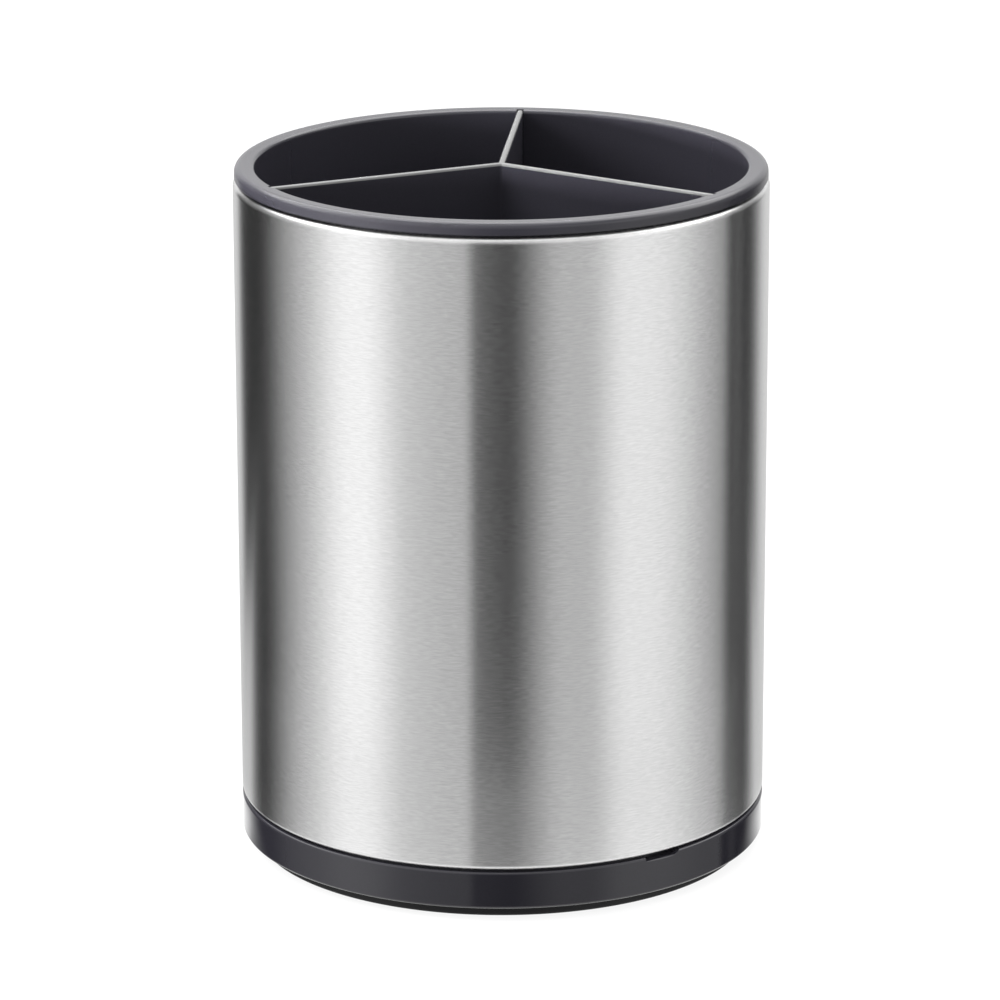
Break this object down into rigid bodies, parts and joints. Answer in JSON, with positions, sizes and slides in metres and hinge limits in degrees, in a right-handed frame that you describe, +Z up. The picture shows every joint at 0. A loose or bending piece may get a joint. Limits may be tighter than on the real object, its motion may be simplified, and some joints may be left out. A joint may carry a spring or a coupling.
{
  "type": "cutlery drainer",
  "caption": "Round upright cutlery drainer: brushed steel sleeve on a dark drip tray, with a lift-out slotted cup parted by a Y-shaped divider.",
  "frame": {"origin": "centre of the foot ring's underside, on the table", "axes": "+Z up along the drainer's axis, -Y towards the viewer of the picture, +X to that viewer's right"},
  "size_m": [0.13, 0.13, 0.1714],
  "materials": {
    "brushed_steel": "stainless sheet, brushed round its girth",
    "charcoal_plastic": "glossy moulded plastic, dark charcoal",
    "foot_rubber": "soft non-slip ring, matte"
  },
  "bodies": {
    "base": {"drip_tray": "charcoal_plastic", "foot_ring": "foot_rubber"},
    "sleeve": {"steel_sleeve": "brushed_steel"},
    "insert": {"insert_cup": "charcoal_plastic"},
    "divider": {"divider": "charcoal_plastic"}
  },
  "joints": [
    {"name": "sleeve_lift", "type": "slide", "parent": "base", "child": "sleeve", "axis": [0, 0, 1], "range_m": [0, 0.05]},
    {"name": "insert_lift", "type": "slide", "parent": "sleeve", "child": "insert", "axis": [0, 0, 1], "range_m": [0, 0.16]},
    {"name": "divider_lift", "type": "slide", "parent": "insert", "child": "divider", "axis": [0, 0, 1], "range_m": [0, 0.16]}
  ]
}
